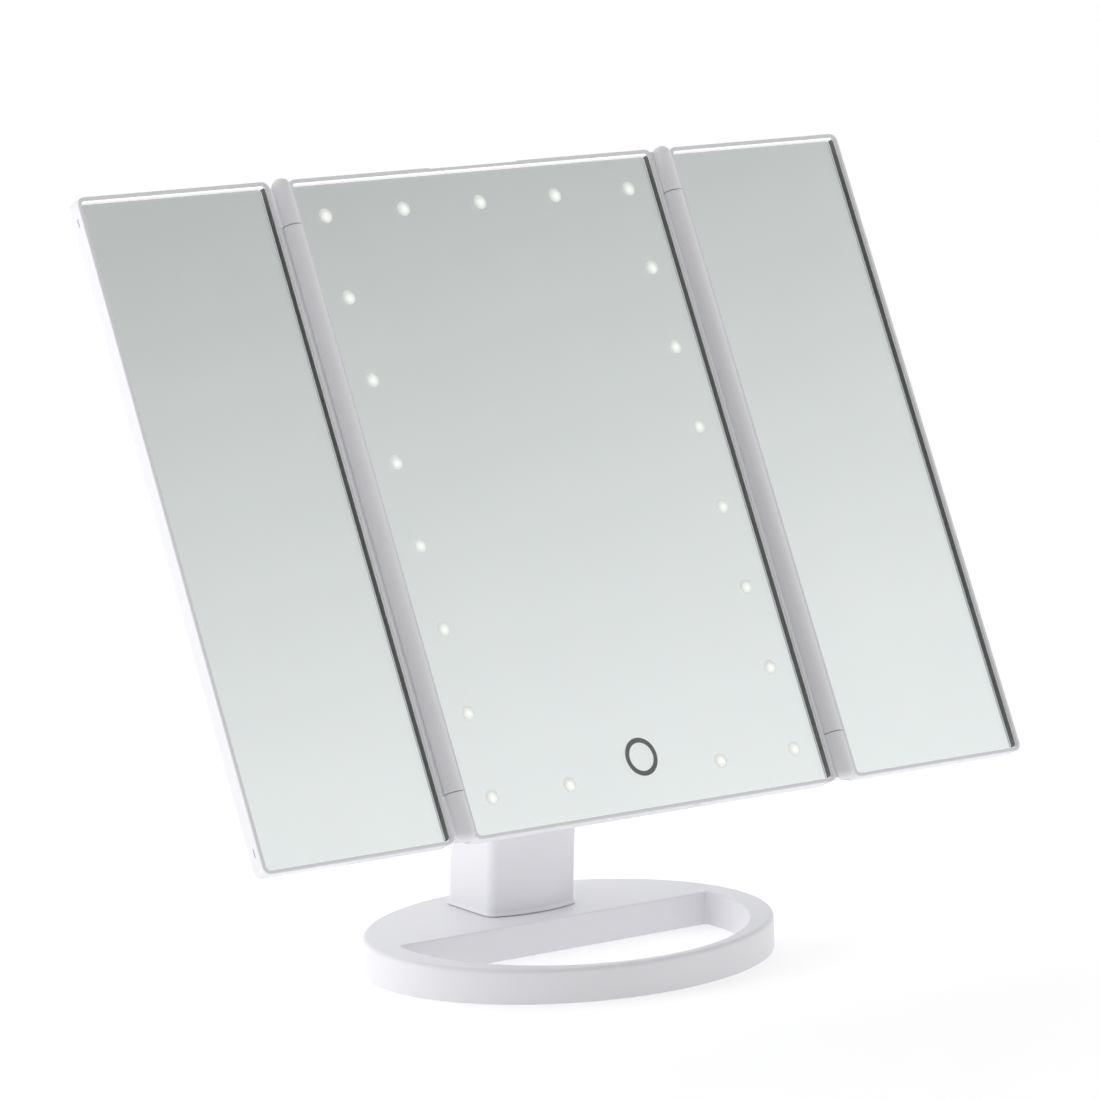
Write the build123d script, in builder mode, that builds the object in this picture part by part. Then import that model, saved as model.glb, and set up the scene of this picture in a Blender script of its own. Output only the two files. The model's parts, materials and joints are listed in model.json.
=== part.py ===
from build123d import *
import os
from math import cos, radians, sin

# Tri-fold lighted vanity mirror: a centre panel with lights, two folding wings, a column and an oval base.
# Units are millimetres. +Z is up, the mirrors face -Y, and the origin is on the table under the tilt axis.
# "left" and "right" are as seen by a person in front of the mirror.

os.makedirs("parts", exist_ok=True)

# ---------------------------------------------------------------- driving dimensions

overall_width = 344.4         # across both open wings
head_height = 243.0
tilt = 28.0                   # lean of the head, in degrees from upright
pivot_height = 157.5
pivot_depth = 29.4            # from the front rim back to the tilt axis

# panels
centre_half_width = 82.4
wing_inner = 90.9             # from the middle of the head to each wing's inner side
corner_radius = 3.0
rim = 1.4                     # width of the rim's front face
rim_rounding = 0.4
panel_depth = 6.5
glass_recess = 1.0
glass_thickness = 2.4
silvering_thickness = 0.15
backing_thickness = 0.8       # foam pads in the wings, diffuser sheet in the centre
fit_gap = 0.15                # each side of a piece that drops into a pocket
centre_floor = 1.5

# hinges between the centre panel and the wings
hinge_u = 86.4
hinge_w = 0.25                # ahead of the rim, so that the rims stop half a millimetre apart
barrel_radius = 3.5
long_barrel = 208.0
barrel_split = 0.3
knuckle_over = 0.4            # how far a knuckle's tip stands past the end of the head
knuckle_tip = 3.2             # rounding of a knuckle's tip
pin_radius = 1.0
pin_clearance = 0.04
pin_length = 29.0
pin_recess = 1.5

# lights and touch switch
light_columns = 5
light_rows = 8
light_pitch_u = 34.4
light_pitch_v = 30.7
light_offset_v = 0.4
window_radius = 2.75
ring_v = -101.2
ring_outer = 7.0
ring_inner = 5.2

# back cover and what is under it
cover_depth = 8.0
cover_inset = 3.0
cover_draft = 12.0
cover_wall = 2.0
board_thickness = 1.2
lens_gap = 0.45

# tilt joint
boss_radius = 11.0
boss_half_width = 8.2
ear_gap = 0.8
shaft_radius = 2.5
shaft_clearance = 0.05
crown_radius = 13.4

# column
column_half_width = 19.8
column_back = 13.4
column_side_front = -12.4     # where the side walls meet the bowed front
column_bow = -16.0            # the middle of the bowed front
column_corner = 3.5
column_wall = 2.2
shoulder_height = 45.0        # above it the front leans back, to leave room for the head
slim_height = 101.0
column_foot_flare = 0.8
column_foot_height = 1.8
column_foot_gap = 0.35        # groove under the flared foot

# batteries
cell_radius = 7.25
cell_length = 50.5
cell_spacing = 14.8
cell_y = 3.4
bay_bottom = 28.0
bay_top = 135.0

# battery door
door_half_width = 14.9
door_gap = 0.3
door_hinge_z = 25.6
door_top = 137.0
door_thickness = 2.2

# base
base_height = 12.7
foot_height = 0.6
shell_bottom = 0.4
base_y = -34.0
base_a = 82.4
base_b = 57.4
base_flare = 0.7
base_wall = 2.2
opening_rear = -26.1
opening_y = -33.0
opening_a = 71.3
opening_b = 54.7
ring_solid_y = -72.0          # in front of this the ring of the base is solid
plate_thickness = 1.6

# ---------------------------------------------------------------- planes and shared helpers

head = Plane(
    origin=(0, -pivot_depth * cos(radians(tilt)), pivot_height + pivot_depth * sin(radians(tilt))),
    x_dir=(1, 0, 0),
    z_dir=(0, -cos(radians(tilt)), sin(radians(tilt))),
)
base = Plane.XY.move(Location((0, base_y, 0)))
out_of_face = Axis(head.origin, head.z_dir)
half_height = head_height / 2
wing_outer = overall_width / 2

glass_back = -glass_recess - glass_thickness
silvering_back = glass_back - silvering_thickness
backing_back = silvering_back - backing_thickness
centre_floor_back = backing_back - centre_floor
lights_front = centre_floor_back - lens_gap
led_height = 0.8
board_front = lights_front - led_height
cover_back = -panel_depth - cover_depth
cover_inside = cover_back + cover_wall


def head_point(u, v, w):
    """A point of the head: u across it, v up its face, w out of its face."""
    return head.from_local_coords((u, v, w))


def hinge_plane(v, sign=1):
    """A plane square to the hinges, at height v up the head."""
    return Plane(origin=head_point(0, v, 0), x_dir=(sign, 0, 0), z_dir=head.y_dir * sign)


def pivot_plane(x):
    """A plane square to the tilt axis, at x along it."""
    return Plane(origin=(x, 0, pivot_height), x_dir=(0, 1, 0), z_dir=(1, 0, 0))


def light_places():
    """Centres of the lights: the border of a grid, less the place that the touch switch takes."""
    places = []
    for column in range(light_columns):
        for row in range(light_rows):
            border = column in (0, light_columns - 1) or row in (0, light_rows - 1)
            switch = row == 0 and column == light_columns // 2
            if border and not switch:
                u = (column - (light_columns - 1) / 2) * light_pitch_u
                v = (row - (light_rows - 1) / 2) * light_pitch_v + light_offset_v
                places.append((u, v))
    return places


def write(piece, label):
    """Name a finished piece and write its file."""
    piece.part.label = label
    export_step(piece.part, f"parts/{label}.step")
    print(label, len(piece.part.solids()), round(piece.part.volume, 1))


def panel_outline(u_low, u_high, v_half, radius):
    """A rounded rectangle from u_low to u_high, in the sketch in hand."""
    with Locations(((u_low + u_high) / 2, 0)):
        RectangleRounded(u_high - u_low, 2 * v_half, radius)


def hollow_outline(margin, front):
    """The oval of the base less a margin and less its solid front, in the sketch in hand."""
    Ellipse(base_a - margin, base_b - margin)
    with Locations((0, front - base_y)):
        Rectangle(4 * base_a, 2 * base_b, align=(Align.CENTER, Align.MAX), mode=Mode.SUBTRACT)


def opening_outline(grow):
    """The D-shaped opening of the base, grown by a margin, in the sketch in hand."""
    with Locations((0, opening_y - base_y)):
        Ellipse(opening_a + grow, opening_b + grow)
    with Locations((0, opening_rear - base_y + grow)):
        Rectangle(4 * base_a, 2 * base_b, align=(Align.CENTER, Align.MIN), mode=Mode.SUBTRACT)


# ---------------------------------------------------------------- base

base_screw_places = [(x, y) for x in (-13.5, 13.5) for y in (-6.5, 6.5)]

with BuildPart() as base_shell:
    with BuildSketch(base.offset(shell_bottom)):
        Ellipse(base_a + base_flare, base_b + base_flare)
    with BuildSketch(base.offset(base_height)):
        Ellipse(base_a, base_b)
    loft()
    fillet(base_shell.edges().group_by(Axis.Z)[-1], radius=1.5)
    with BuildSketch(base.offset(shell_bottom)):
        opening_outline(0)
    extrude(amount=base_height, mode=Mode.SUBTRACT)
    corner_edges = base_shell.edges().filter_by(Axis.Z)
    corner_edges = corner_edges.filter_by_position(Axis.Y, opening_rear - 0.5, opening_rear + 0.5)
    fillet(corner_edges, radius=1.2)
    rim_edges = base_shell.faces().sort_by(Axis.Z)[-1].inner_wires()[0].edges()
    fillet(rim_edges, radius=0.6)
    cavity_height = base_height - base_wall - shell_bottom
    with BuildSketch(base.offset(shell_bottom), mode=Mode.PRIVATE) as cavity:
        hollow_outline(base_wall, ring_solid_y)
    with BuildSketch(base.offset(shell_bottom), mode=Mode.PRIVATE) as cavity_core:
        opening_outline(base_wall)
    extrude(cavity.sketch - cavity_core.sketch, amount=cavity_height, mode=Mode.SUBTRACT)
    with BuildSketch(Plane.XY.offset(base_height - base_wall)):
        with Locations(*base_screw_places):
            Circle(4.2)
    extrude(amount=-1.6)
    with BuildSketch(Plane.XY.offset(base_height)):
        with Locations(*base_screw_places):
            Circle(1.7)
        with Locations((0, -2)):
            Circle(4.0)
    extrude(amount=-base_height, mode=Mode.SUBTRACT)
write(base_shell, "base_shell")

with BuildPart() as base_bottom_plate:
    margin = base_wall + fit_gap
    with BuildSketch(base.offset(foot_height), mode=Mode.PRIVATE) as plate_outline:
        hollow_outline(margin, ring_solid_y + fit_gap)
    with BuildSketch(base.offset(foot_height), mode=Mode.PRIVATE) as plate_opening:
        opening_outline(margin)
    extrude(plate_outline.sketch - plate_opening.sketch, amount=plate_thickness)
write(base_bottom_plate, "base_bottom_plate")

with BuildPart() as base_feet:
    with BuildSketch():
        RectangleRounded(92, 22, 6)
        with Locations((-72.0, -53.0), (72.0, -53.0)):
            Circle(2.5)
    extrude(amount=foot_height)
write(base_feet, "base_feet")

ballast_bottom = foot_height + plate_thickness
ballast_height = 6.0
with BuildPart() as base_ballast:
    with BuildSketch(base.offset(ballast_bottom), mode=Mode.PRIVATE) as ballast_outline:
        Ellipse(base_a - 6, base_b - 6)
    with BuildSketch(base.offset(ballast_bottom), mode=Mode.PRIVATE) as ballast_front:
        with Locations((0, opening_rear - base_y + base_wall + 1.5)):
            Rectangle(4 * base_a, 4 * base_b, align=(Align.CENTER, Align.MAX))
    extrude(ballast_outline.sketch - ballast_front.sketch, amount=ballast_height)
    with BuildSketch(Plane.XY.offset(ballast_bottom)):
        with Locations(*base_screw_places):
            Circle(5.2)
    extrude(amount=ballast_height, mode=Mode.SUBTRACT)
write(base_ballast, "base_ballast")

screw_seat = base_height - base_wall - 1.6
with BuildPart() as base_screws:
    with BuildSketch(Plane.XY.offset(screw_seat)):
        with Locations(*base_screw_places):
            Circle(2.8)
    extrude(amount=-1.9)
    with BuildSketch(Plane.XY.offset(screw_seat)):
        with Locations(*base_screw_places):
            Circle(1.25)
    extrude(amount=12)
write(base_screws, "base_screws")

# ---------------------------------------------------------------- column

slot_bottom = pivot_height - boss_radius - 1.0
slot_half = boss_half_width + ear_gap
cap_radius = 7.0
cap_depth = 6.0
column_floor = base_height + 2.0
cavity_top = 139.0
back_plate_half = column_half_width - column_wall - fit_gap
usb_z = 18.0
lead_radius = 1.3
lead_y = -8.2

with BuildPart() as column_shell:
    with BuildSketch(Plane.XY.offset(base_height)) as column_plan:
        with BuildLine():
            Polyline(
                (column_half_width, column_side_front),
                (column_half_width, column_back),
                (-column_half_width, column_back),
                (-column_half_width, column_side_front),
            )
            ThreePointArc(
                (-column_half_width, column_side_front), (0, column_bow), (column_half_width, column_side_front)
            )
        make_face()
        fillet(column_plan.vertices(), radius=column_corner)
    extrude(amount=pivot_height + crown_radius - base_height)
    with BuildSketch(Plane.YZ) as column_profile:
        with BuildLine():
            Polyline(
                (crown_radius, pivot_height),
                (crown_radius, base_height),
                (column_bow - 1, base_height),
                (column_bow - 1, shoulder_height - 8),
                (-crown_radius, slim_height),
                (-crown_radius, pivot_height),
            )
            ThreePointArc(
                (-crown_radius, pivot_height), (0, pivot_height + crown_radius), (crown_radius, pivot_height)
            )
        make_face()
    extrude(amount=column_half_width + 1, both=True, mode=Mode.INTERSECT)
    foot = offset(column_plan.sketch, amount=column_foot_flare, mode=Mode.PRIVATE)
    extrude(foot, amount=column_foot_height, taper=22)
    foot_core = offset(column_plan.sketch, amount=-0.2, mode=Mode.PRIVATE)
    extrude(foot - foot_core, amount=column_foot_gap, mode=Mode.SUBTRACT)
    # the hollow of the column, open at the back
    with BuildSketch(Plane.XY.offset(column_floor)):
        with Locations((0, column_back)):
            Rectangle(
                2 * (column_half_width - column_wall),
                column_back - column_side_front - column_wall,
                align=(Align.CENTER, Align.MAX),
            )
    extrude(amount=cavity_top - column_floor, mode=Mode.SUBTRACT)
    # the fork that takes the head's boss, and the recesses for the bolt's head and nut
    with BuildSketch(Plane.YZ):
        with Locations((0, slot_bottom)):
            Rectangle(4 * crown_radius, 3 * crown_radius, align=(Align.CENTER, Align.MIN))
    extrude(amount=slot_half, both=True, mode=Mode.SUBTRACT)
    for sign in (-1, 1):
        with BuildSketch(pivot_plane(sign * column_half_width)):
            Circle(cap_radius)
        extrude(amount=-sign * cap_depth, mode=Mode.SUBTRACT)
    with BuildSketch(pivot_plane(-column_half_width)):
        Circle(shaft_radius)
    extrude(amount=2 * column_half_width, mode=Mode.SUBTRACT)
    # passage for the lead, from the hollow into the fork
    with BuildSketch(Plane.XY.offset(cavity_top - 1)):
        with Locations((0, lead_y)):
            Circle(2.0)
    extrude(amount=slot_bottom - cavity_top + 2, mode=Mode.SUBTRACT)
    # posts for the screws that come up through the base
    with BuildSketch(Plane.XY.offset(column_floor)):
        with Locations(*base_screw_places):
            Circle(3.0)
    extrude(amount=9)
    with BuildSketch(Plane.XY.offset(base_height)):
        with Locations(*base_screw_places):
            Circle(1.25)
        with Locations((0, -2)):
            Circle(4.0)
    extrude(amount=12, mode=Mode.SUBTRACT)
    # ledges that the back plate is screwed to
    with BuildSketch(Plane.XZ.offset(-(column_back - door_thickness))):
        for sign in (-1, 1):
            with Locations((sign * (column_half_width - column_wall - 1.2), column_floor + 3.8)):
                Rectangle(2.8, 7.6)
        with Locations((0, cavity_top + 0.5)):
            Rectangle(2 * (column_half_width - column_wall), 1.0)
    extrude(amount=5)
write(column_shell, "column_shell")

with BuildPart() as column_back_plate:
    plate_bottom = column_floor + fit_gap
    with BuildSketch(Plane.XZ.offset(-column_back)):
        with Locations((0, (plate_bottom + cavity_top - fit_gap) / 2)):
            Rectangle(2 * back_plate_half, cavity_top - fit_gap - plate_bottom)
        door_low = door_hinge_z - door_thickness / 2 - door_gap
        with Locations((0, (door_low + door_top + door_gap) / 2)):
            Rectangle(
                2 * (door_half_width + door_gap), door_top + door_gap - door_low, mode=Mode.SUBTRACT
            )
        with Locations((0, usb_z)):
            RectangleRounded(8.6, 3.8, 0.8, mode=Mode.SUBTRACT)
    extrude(amount=door_thickness)
    with BuildSketch(Plane.YZ.offset(-door_half_width - 1.9)):
        with Locations((column_back - door_thickness / 2, door_hinge_z)):
            Circle(0.75)
    extrude(amount=2 * (door_half_width + 1.9), mode=Mode.SUBTRACT)
write(column_back_plate, "column_back_plate")

with BuildPart() as battery_door:
    with BuildSketch(Plane.XZ.offset(-column_back)):
        with Locations((0, (door_hinge_z + door_top) / 2)):
            Rectangle(2 * door_half_width, door_top - door_hinge_z)
    extrude(amount=door_thickness)
    with BuildSketch(Plane.YZ.offset(-door_half_width)):
        with Locations((column_back - door_thickness / 2, door_hinge_z)):
            Circle(door_thickness / 2)
    extrude(amount=2 * door_half_width)
    with BuildSketch(Plane.YZ.offset(-door_half_width - 1.7)):
        with Locations((column_back - door_thickness / 2, door_hinge_z)):
            Circle(0.7)
    extrude(amount=2 * (door_half_width + 1.7))
    # finger dip near the top edge
    with BuildSketch(Plane.XZ.offset(-column_back)):
        with Locations((0, door_top - 9)):
            SlotOverall(14, 6)
    extrude(amount=0.8, mode=Mode.SUBTRACT)
    # stiffening ribs on the inside
    with BuildSketch(Plane.XZ.offset(-(column_back - door_thickness))):
        with Locations((0, 34), (0, 129)):
            Rectangle(20, 1.4)
    extrude(amount=0.35)
write(battery_door, "battery_door")

with BuildPart() as battery_tray:
    tray_half = 16.9
    tray_wall = 1.2
    tray_front = cell_y - cell_radius - 0.3
    with BuildSketch(Plane.XZ.offset(-(tray_front - tray_wall))):
        with Locations((0, (bay_bottom + bay_top) / 2)):
            Rectangle(2 * tray_half, bay_top - bay_bottom + 2 * tray_wall)
    extrude(amount=-(column_back - door_thickness - 0.5 - tray_front + tray_wall))
    with BuildSketch(Plane.XZ.offset(-tray_front)):
        with Locations((0, (bay_bottom + bay_top) / 2)):
            Rectangle(2 * (tray_half - tray_wall), bay_top - bay_bottom)
    extrude(amount=-20, mode=Mode.SUBTRACT)
write(battery_tray, "battery_tray")

cell_starts = [bay_bottom + 3.2, bay_bottom + 3.2 + cell_length]
with BuildPart() as aa_cells:
    for start in cell_starts:
        with BuildSketch(Plane.XY.offset(start)):
            with Locations((-cell_spacing / 2, cell_y), (cell_spacing / 2, cell_y)):
                Circle(cell_radius)
        extrude(amount=cell_length - 1.2)
        with BuildSketch(Plane.XY.offset(start + cell_length - 1.2)):
            with Locations((-cell_spacing / 2, cell_y), (cell_spacing / 2, cell_y)):
                Circle(2.6)
        extrude(amount=1.0)
write(aa_cells, "aa_cells")

spring_turns = 3
with BuildPart() as battery_springs:
    for turn in range(spring_turns):
        with BuildSketch(Plane.XY.offset(bay_bottom + 0.1 + turn * 1.0)):
            with Locations((-cell_spacing / 2, cell_y), (cell_spacing / 2, cell_y)):
                Circle(5.0 - 0.9 * turn)
                Circle(4.0 - 0.9 * turn, mode=Mode.SUBTRACT)
        extrude(amount=1.0)
write(battery_springs, "battery_springs")

with BuildPart() as battery_contacts:
    with BuildSketch(Plane.XY.offset(bay_top - 0.5)):
        with Locations((-cell_spacing / 2, cell_y), (cell_spacing / 2, cell_y)):
            Rectangle(11, 10)
    extrude(amount=0.4)
    with BuildSketch(Plane.XY.offset(bay_top - 2.4)):
        with Locations((-cell_spacing / 2, cell_y), (cell_spacing / 2, cell_y)):
            Circle(2.6)
    extrude(amount=1.9)
write(battery_contacts, "battery_contacts")

board_z = usb_z - 1.3 - 1.2
with BuildPart() as power_board:
    with BuildSketch(Plane.XY.offset(board_z)):
        with Locations((0, 6.0)):
            Rectangle(19, 9.6)
    extrude(amount=1.2)
    with BuildSketch(Plane.XY.offset(board_z + 1.2)):
        with Locations((-7, 4), (7, 4)):
            Rectangle(3.2, 2.6)
    extrude(amount=1.4)
write(power_board, "power_board")

with BuildPart() as usb_socket:
    with BuildSketch(Plane.XZ.offset(-(column_back - 0.3))):
        with Locations((0, usb_z)):
            RectangleRounded(7.5, 2.6, 0.7)
            RectangleRounded(6.9, 2.0, 0.5, mode=Mode.SUBTRACT)
    extrude(amount=5.6)
    with BuildSketch(Plane.XZ.offset(-(column_back - 5.3))):
        with Locations((0, usb_z)):
            RectangleRounded(7.5, 2.6, 0.7)
    extrude(amount=0.6)
    with BuildSketch(Plane.XZ.offset(-(column_back - 1.3))):
        with Locations((0, usb_z + 0.25)):
            Rectangle(4.2, 0.7)
    extrude(amount=4.2)
write(usb_socket, "usb_socket")

with BuildPart() as column_lead:
    lead_points = [(0, -1, 18.0), (0, lead_y, 25.0), (0, lead_y, 144.0)]
    with BuildLine() as lead_path:
        FilletPolyline(*lead_points, radius=8.0)
    with BuildSketch(Plane(origin=lead_points[0], z_dir=lead_path.wires()[0] % 0)):
        Circle(lead_radius)
    sweep(path=lead_path.wires()[0])
write(column_lead, "column_lead")

# ---------------------------------------------------------------- tilt joint

ear_outside = column_half_width - cap_depth

with BuildPart() as pivot_shaft:
    with BuildSketch(pivot_plane(-ear_outside)):
        Circle(shaft_radius)
    extrude(amount=2 * ear_outside + 4.2)
    with BuildSketch(pivot_plane(-ear_outside)):
        Circle(4.6)
    extrude(amount=-2.8)
    with BuildSketch(pivot_plane(-ear_outside - 2.8)):
        RegularPolygon(1.6, 6)
    extrude(amount=1.4, mode=Mode.SUBTRACT)
write(pivot_shaft, "pivot_shaft")

with BuildPart() as disc_springs:
    for place in (0.0, 0.65):
        with BuildSketch(pivot_plane(ear_outside + place)):
            Circle(4.8)
            Circle(shaft_radius, mode=Mode.SUBTRACT)
        extrude(amount=0.6)
write(disc_springs, "disc_springs")

with BuildPart() as pivot_nut:
    with BuildSketch(pivot_plane(ear_outside + 1.3)):
        RegularPolygon(4.6, 6)
        Circle(shaft_radius, mode=Mode.SUBTRACT)
    extrude(amount=3.0)
write(pivot_nut, "pivot_nut")

with BuildPart() as friction_washers:
    for sign in (-1, 1):
        with BuildSketch(pivot_plane(sign * slot_half)):
            Circle(8.5)
            Circle(shaft_radius, mode=Mode.SUBTRACT)
        extrude(amount=-sign * (ear_gap - 0.06))
write(friction_washers, "friction_washers")

with BuildPart() as pivot_caps:
    for sign in (-1, 1):
        with BuildSketch(pivot_plane(sign * column_half_width)):
            Circle(cap_radius)
        extrude(amount=-sign * 1.3)
    for sign in (-1, 1):
        outer_rims = pivot_caps.faces().sort_by(Axis.X)[0 if sign < 0 else -1].edges()
        fillet(outer_rims, radius=0.4)
write(pivot_caps, "pivot_caps")

flange_half_u = 24.0
flange_half_v = 19.0
flange_thickness = 2.0
bracket_screw_places = [(u, v) for u in (-18, 18) for v in (-13, 13)]
with BuildPart() as tilt_bracket:
    with BuildSketch(head.offset(cover_inside)):
        RectangleRounded(2 * flange_half_u, 2 * flange_half_v, 4)
    extrude(amount=flange_thickness)
    with BuildSketch(head.offset(cover_inside)):
        Rectangle(2 * boss_half_width, 2 * boss_radius)
    extrude(amount=-(pivot_depth + cover_inside))
    with BuildSketch(pivot_plane(-boss_half_width)):
        Circle(boss_radius)
    extrude(amount=2 * boss_half_width)
    with BuildSketch(pivot_plane(-boss_half_width)):
        Circle(shaft_radius + shaft_clearance)
    extrude(amount=2 * boss_half_width, mode=Mode.SUBTRACT)
    # hole for the lead beside the bolt, and holes for the flange screws
    with BuildSketch(head.offset(cover_inside + flange_thickness)):
        with Locations((0, 6.9)):
            SlotOverall(5.4, 3.6, rotation=90)
        with Locations(*bracket_screw_places):
            Circle(1.3)
    extrude(amount=-60, mode=Mode.SUBTRACT)
write(tilt_bracket, "tilt_bracket")

with BuildPart() as bracket_screws:
    with BuildSketch(head.offset(cover_inside + flange_thickness)):
        with Locations(*bracket_screw_places):
            Circle(2.4)
    extrude(amount=1.5)
    with BuildSketch(head.offset(cover_inside + flange_thickness)):
        with Locations(*bracket_screw_places):
            Circle(1.3)
    extrude(amount=-(flange_thickness + 1.2))
write(bracket_screws, "bracket_screws")

# ---------------------------------------------------------------- centre panel

cover_screw_places = [(u, v) for u in (-52, 52) for v in (-92, 0, 92)]
knuckle_length = half_height + knuckle_over - long_barrel / 2 - barrel_split

with BuildPart() as centre_frame:
    with BuildSketch(head):
        panel_outline(-centre_half_width, centre_half_width, half_height, corner_radius)
    extrude(amount=-panel_depth)
    front_edges = centre_frame.faces().sort_by(out_of_face)[-1].edges()
    fillet(front_edges, radius=rim_rounding)
    with BuildSketch(head):
        panel_outline(-centre_half_width + rim, centre_half_width - rim, half_height - rim, corner_radius - rim)
    extrude(amount=backing_back, mode=Mode.SUBTRACT)
    with BuildSketch(head.offset(-panel_depth)):
        panel_outline(-centre_half_width + 3, centre_half_width - 3, half_height - 3, 2)
    extrude(amount=centre_floor_back + panel_depth, mode=Mode.SUBTRACT)
    # holes for the lights and for the touch spring
    with BuildSketch(head):
        with Locations(*light_places()):
            Circle(window_radius + 0.6)
        with Locations((0, ring_v)):
            Circle(ring_outer + 0.5)
    extrude(amount=-panel_depth, mode=Mode.SUBTRACT)
    # bosses for the screws of the back cover
    with BuildSketch(head.offset(centre_floor_back)):
        with Locations(*cover_screw_places):
            Circle(3.0)
    extrude(amount=cover_inside + 1.0 - centre_floor_back)
    with BuildSketch(head.offset(cover_inside + 1.0)):
        with Locations(*cover_screw_places):
            Circle(1.0)
    extrude(amount=6.5, mode=Mode.SUBTRACT)
    # finger recess in the middle of the top edge, notch in the bottom edge
    with BuildSketch(hinge_plane(half_height)):
        with Locations((0, panel_depth / 2)):
            Rectangle(40, panel_depth + 2)
    extrude(amount=-0.45, mode=Mode.SUBTRACT)
    with BuildSketch(hinge_plane(-half_height)):
        with Locations((17.5, 1.6)):
            Rectangle(3.0, 1.0)
    extrude(amount=0.5, mode=Mode.SUBTRACT)
    # hinge knuckles at the four corners, each with a rounded tip and a bore for its pin
    for sign in (-1, 1):
        hinge_axis = Axis(head_point(sign * hinge_u, 0, hinge_w), head.y_dir)
        for end in (-1, 1):
            start = long_barrel / 2 + barrel_split
            with BuildSketch(Plane(origin=hinge_axis.position, x_dir=(1, 0, 0), z_dir=head.z_dir)) as knuckle:
                with Locations((barrel_radius / 2, end * (start + knuckle_length / 2))):
                    Rectangle(barrel_radius, knuckle_length)
                tip = knuckle.vertices().group_by(Axis.Y)[-1 if end > 0 else 0]
                fillet(tip.sort_by(Axis.X)[-1], radius=knuckle_tip)
            revolve(axis=hinge_axis)
            web_width = hinge_u - centre_half_width + 2.0
            with BuildSketch(hinge_plane(end * start)):
                with Locations((sign * (hinge_u + 1.0 - web_width / 2), (panel_depth + 0.2) / 2)):
                    Rectangle(web_width, panel_depth - 0.2)
            extrude(amount=end * (knuckle_length - 1.6))
            with BuildSketch(hinge_plane(end * start)):
                with Locations((sign * hinge_u, -hinge_w)):
                    Circle(pin_radius)
            extrude(amount=end * (knuckle_length + 1), mode=Mode.SUBTRACT)
write(centre_frame, "centre_frame")

glass_u = centre_half_width - rim - fit_gap
glass_v = half_height - rim - fit_gap
with BuildPart() as centre_glass:
    with BuildSketch(head.offset(-glass_recess)):
        panel_outline(-glass_u, glass_u, glass_v, 1.4)
    extrude(amount=-glass_thickness)
    chamfer(centre_glass.faces().sort_by(out_of_face)[-1].edges(), length=0.25)
write(centre_glass, "centre_glass")

with BuildPart() as centre_silvering:
    with BuildSketch(head.offset(glass_back)):
        panel_outline(-glass_u, glass_u, glass_v, 1.4)
        with Locations(*light_places()):
            Circle(window_radius, mode=Mode.SUBTRACT)
        with Locations((0, ring_v)):
            Circle(ring_outer, mode=Mode.SUBTRACT)
            Circle(ring_inner)
    extrude(amount=-silvering_thickness)
write(centre_silvering, "centre_silvering")

with BuildPart() as touch_ring:
    with BuildSketch(head.offset(glass_back)):
        with Locations((0, ring_v)):
            Circle(ring_outer)
            Circle(ring_inner, mode=Mode.SUBTRACT)
    extrude(amount=-silvering_thickness)
write(touch_ring, "touch_ring")

with BuildPart() as centre_diffuser:
    with BuildSketch(head.offset(silvering_back)):
        panel_outline(-glass_u, glass_u, glass_v, 1.4)
    extrude(amount=-backing_thickness)
write(centre_diffuser, "centre_diffuser")

board_u = 75.0
board_v = 114.0
with BuildPart() as led_board:
    with BuildSketch(head.offset(board_front)):
        RectangleRounded(2 * board_u, 2 * board_v, 3)
        RectangleRounded(2 * (board_u - 12.5), 2 * (board_v - 12.5), 3, mode=Mode.SUBTRACT)
        with Locations((0, ring_v + 2)):
            Rectangle(20, 18)
    extrude(amount=-board_thickness)
write(led_board, "led_board")

with BuildPart() as leds:
    with BuildSketch(head.offset(board_front)):
        with Locations(*light_places()):
            Rectangle(2.8, 3.5)
    extrude(amount=led_height)
write(leds, "leds")

with BuildPart() as touch_spring:
    with BuildSketch(head.offset(board_front)):
        with Locations((0, ring_v)):
            Circle(6.0)
            Circle(5.2, mode=Mode.SUBTRACT)
    extrude(amount=backing_back - board_front)
write(touch_spring, "touch_spring")

control_v = 48.0
with BuildPart() as control_board:
    with BuildSketch(head.offset(cover_inside + 1.6)):
        with Locations((0, control_v)):
            Rectangle(44, 26)
    extrude(amount=board_thickness)
write(control_board, "control_board")

with BuildPart() as control_parts:
    with BuildSketch(head.offset(cover_inside + 1.6 + board_thickness)):
        with Locations((-9, control_v)):
            Rectangle(5, 6)
        with Locations((6, control_v + 5)):
            Rectangle(7.5, 5.8)
        with Locations((12, control_v - 6)):
            Circle(2.5)
        with Locations((0, control_v - 9)):
            Rectangle(6, 4)
    extrude(amount=1.7)
write(control_parts, "control_parts")

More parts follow.
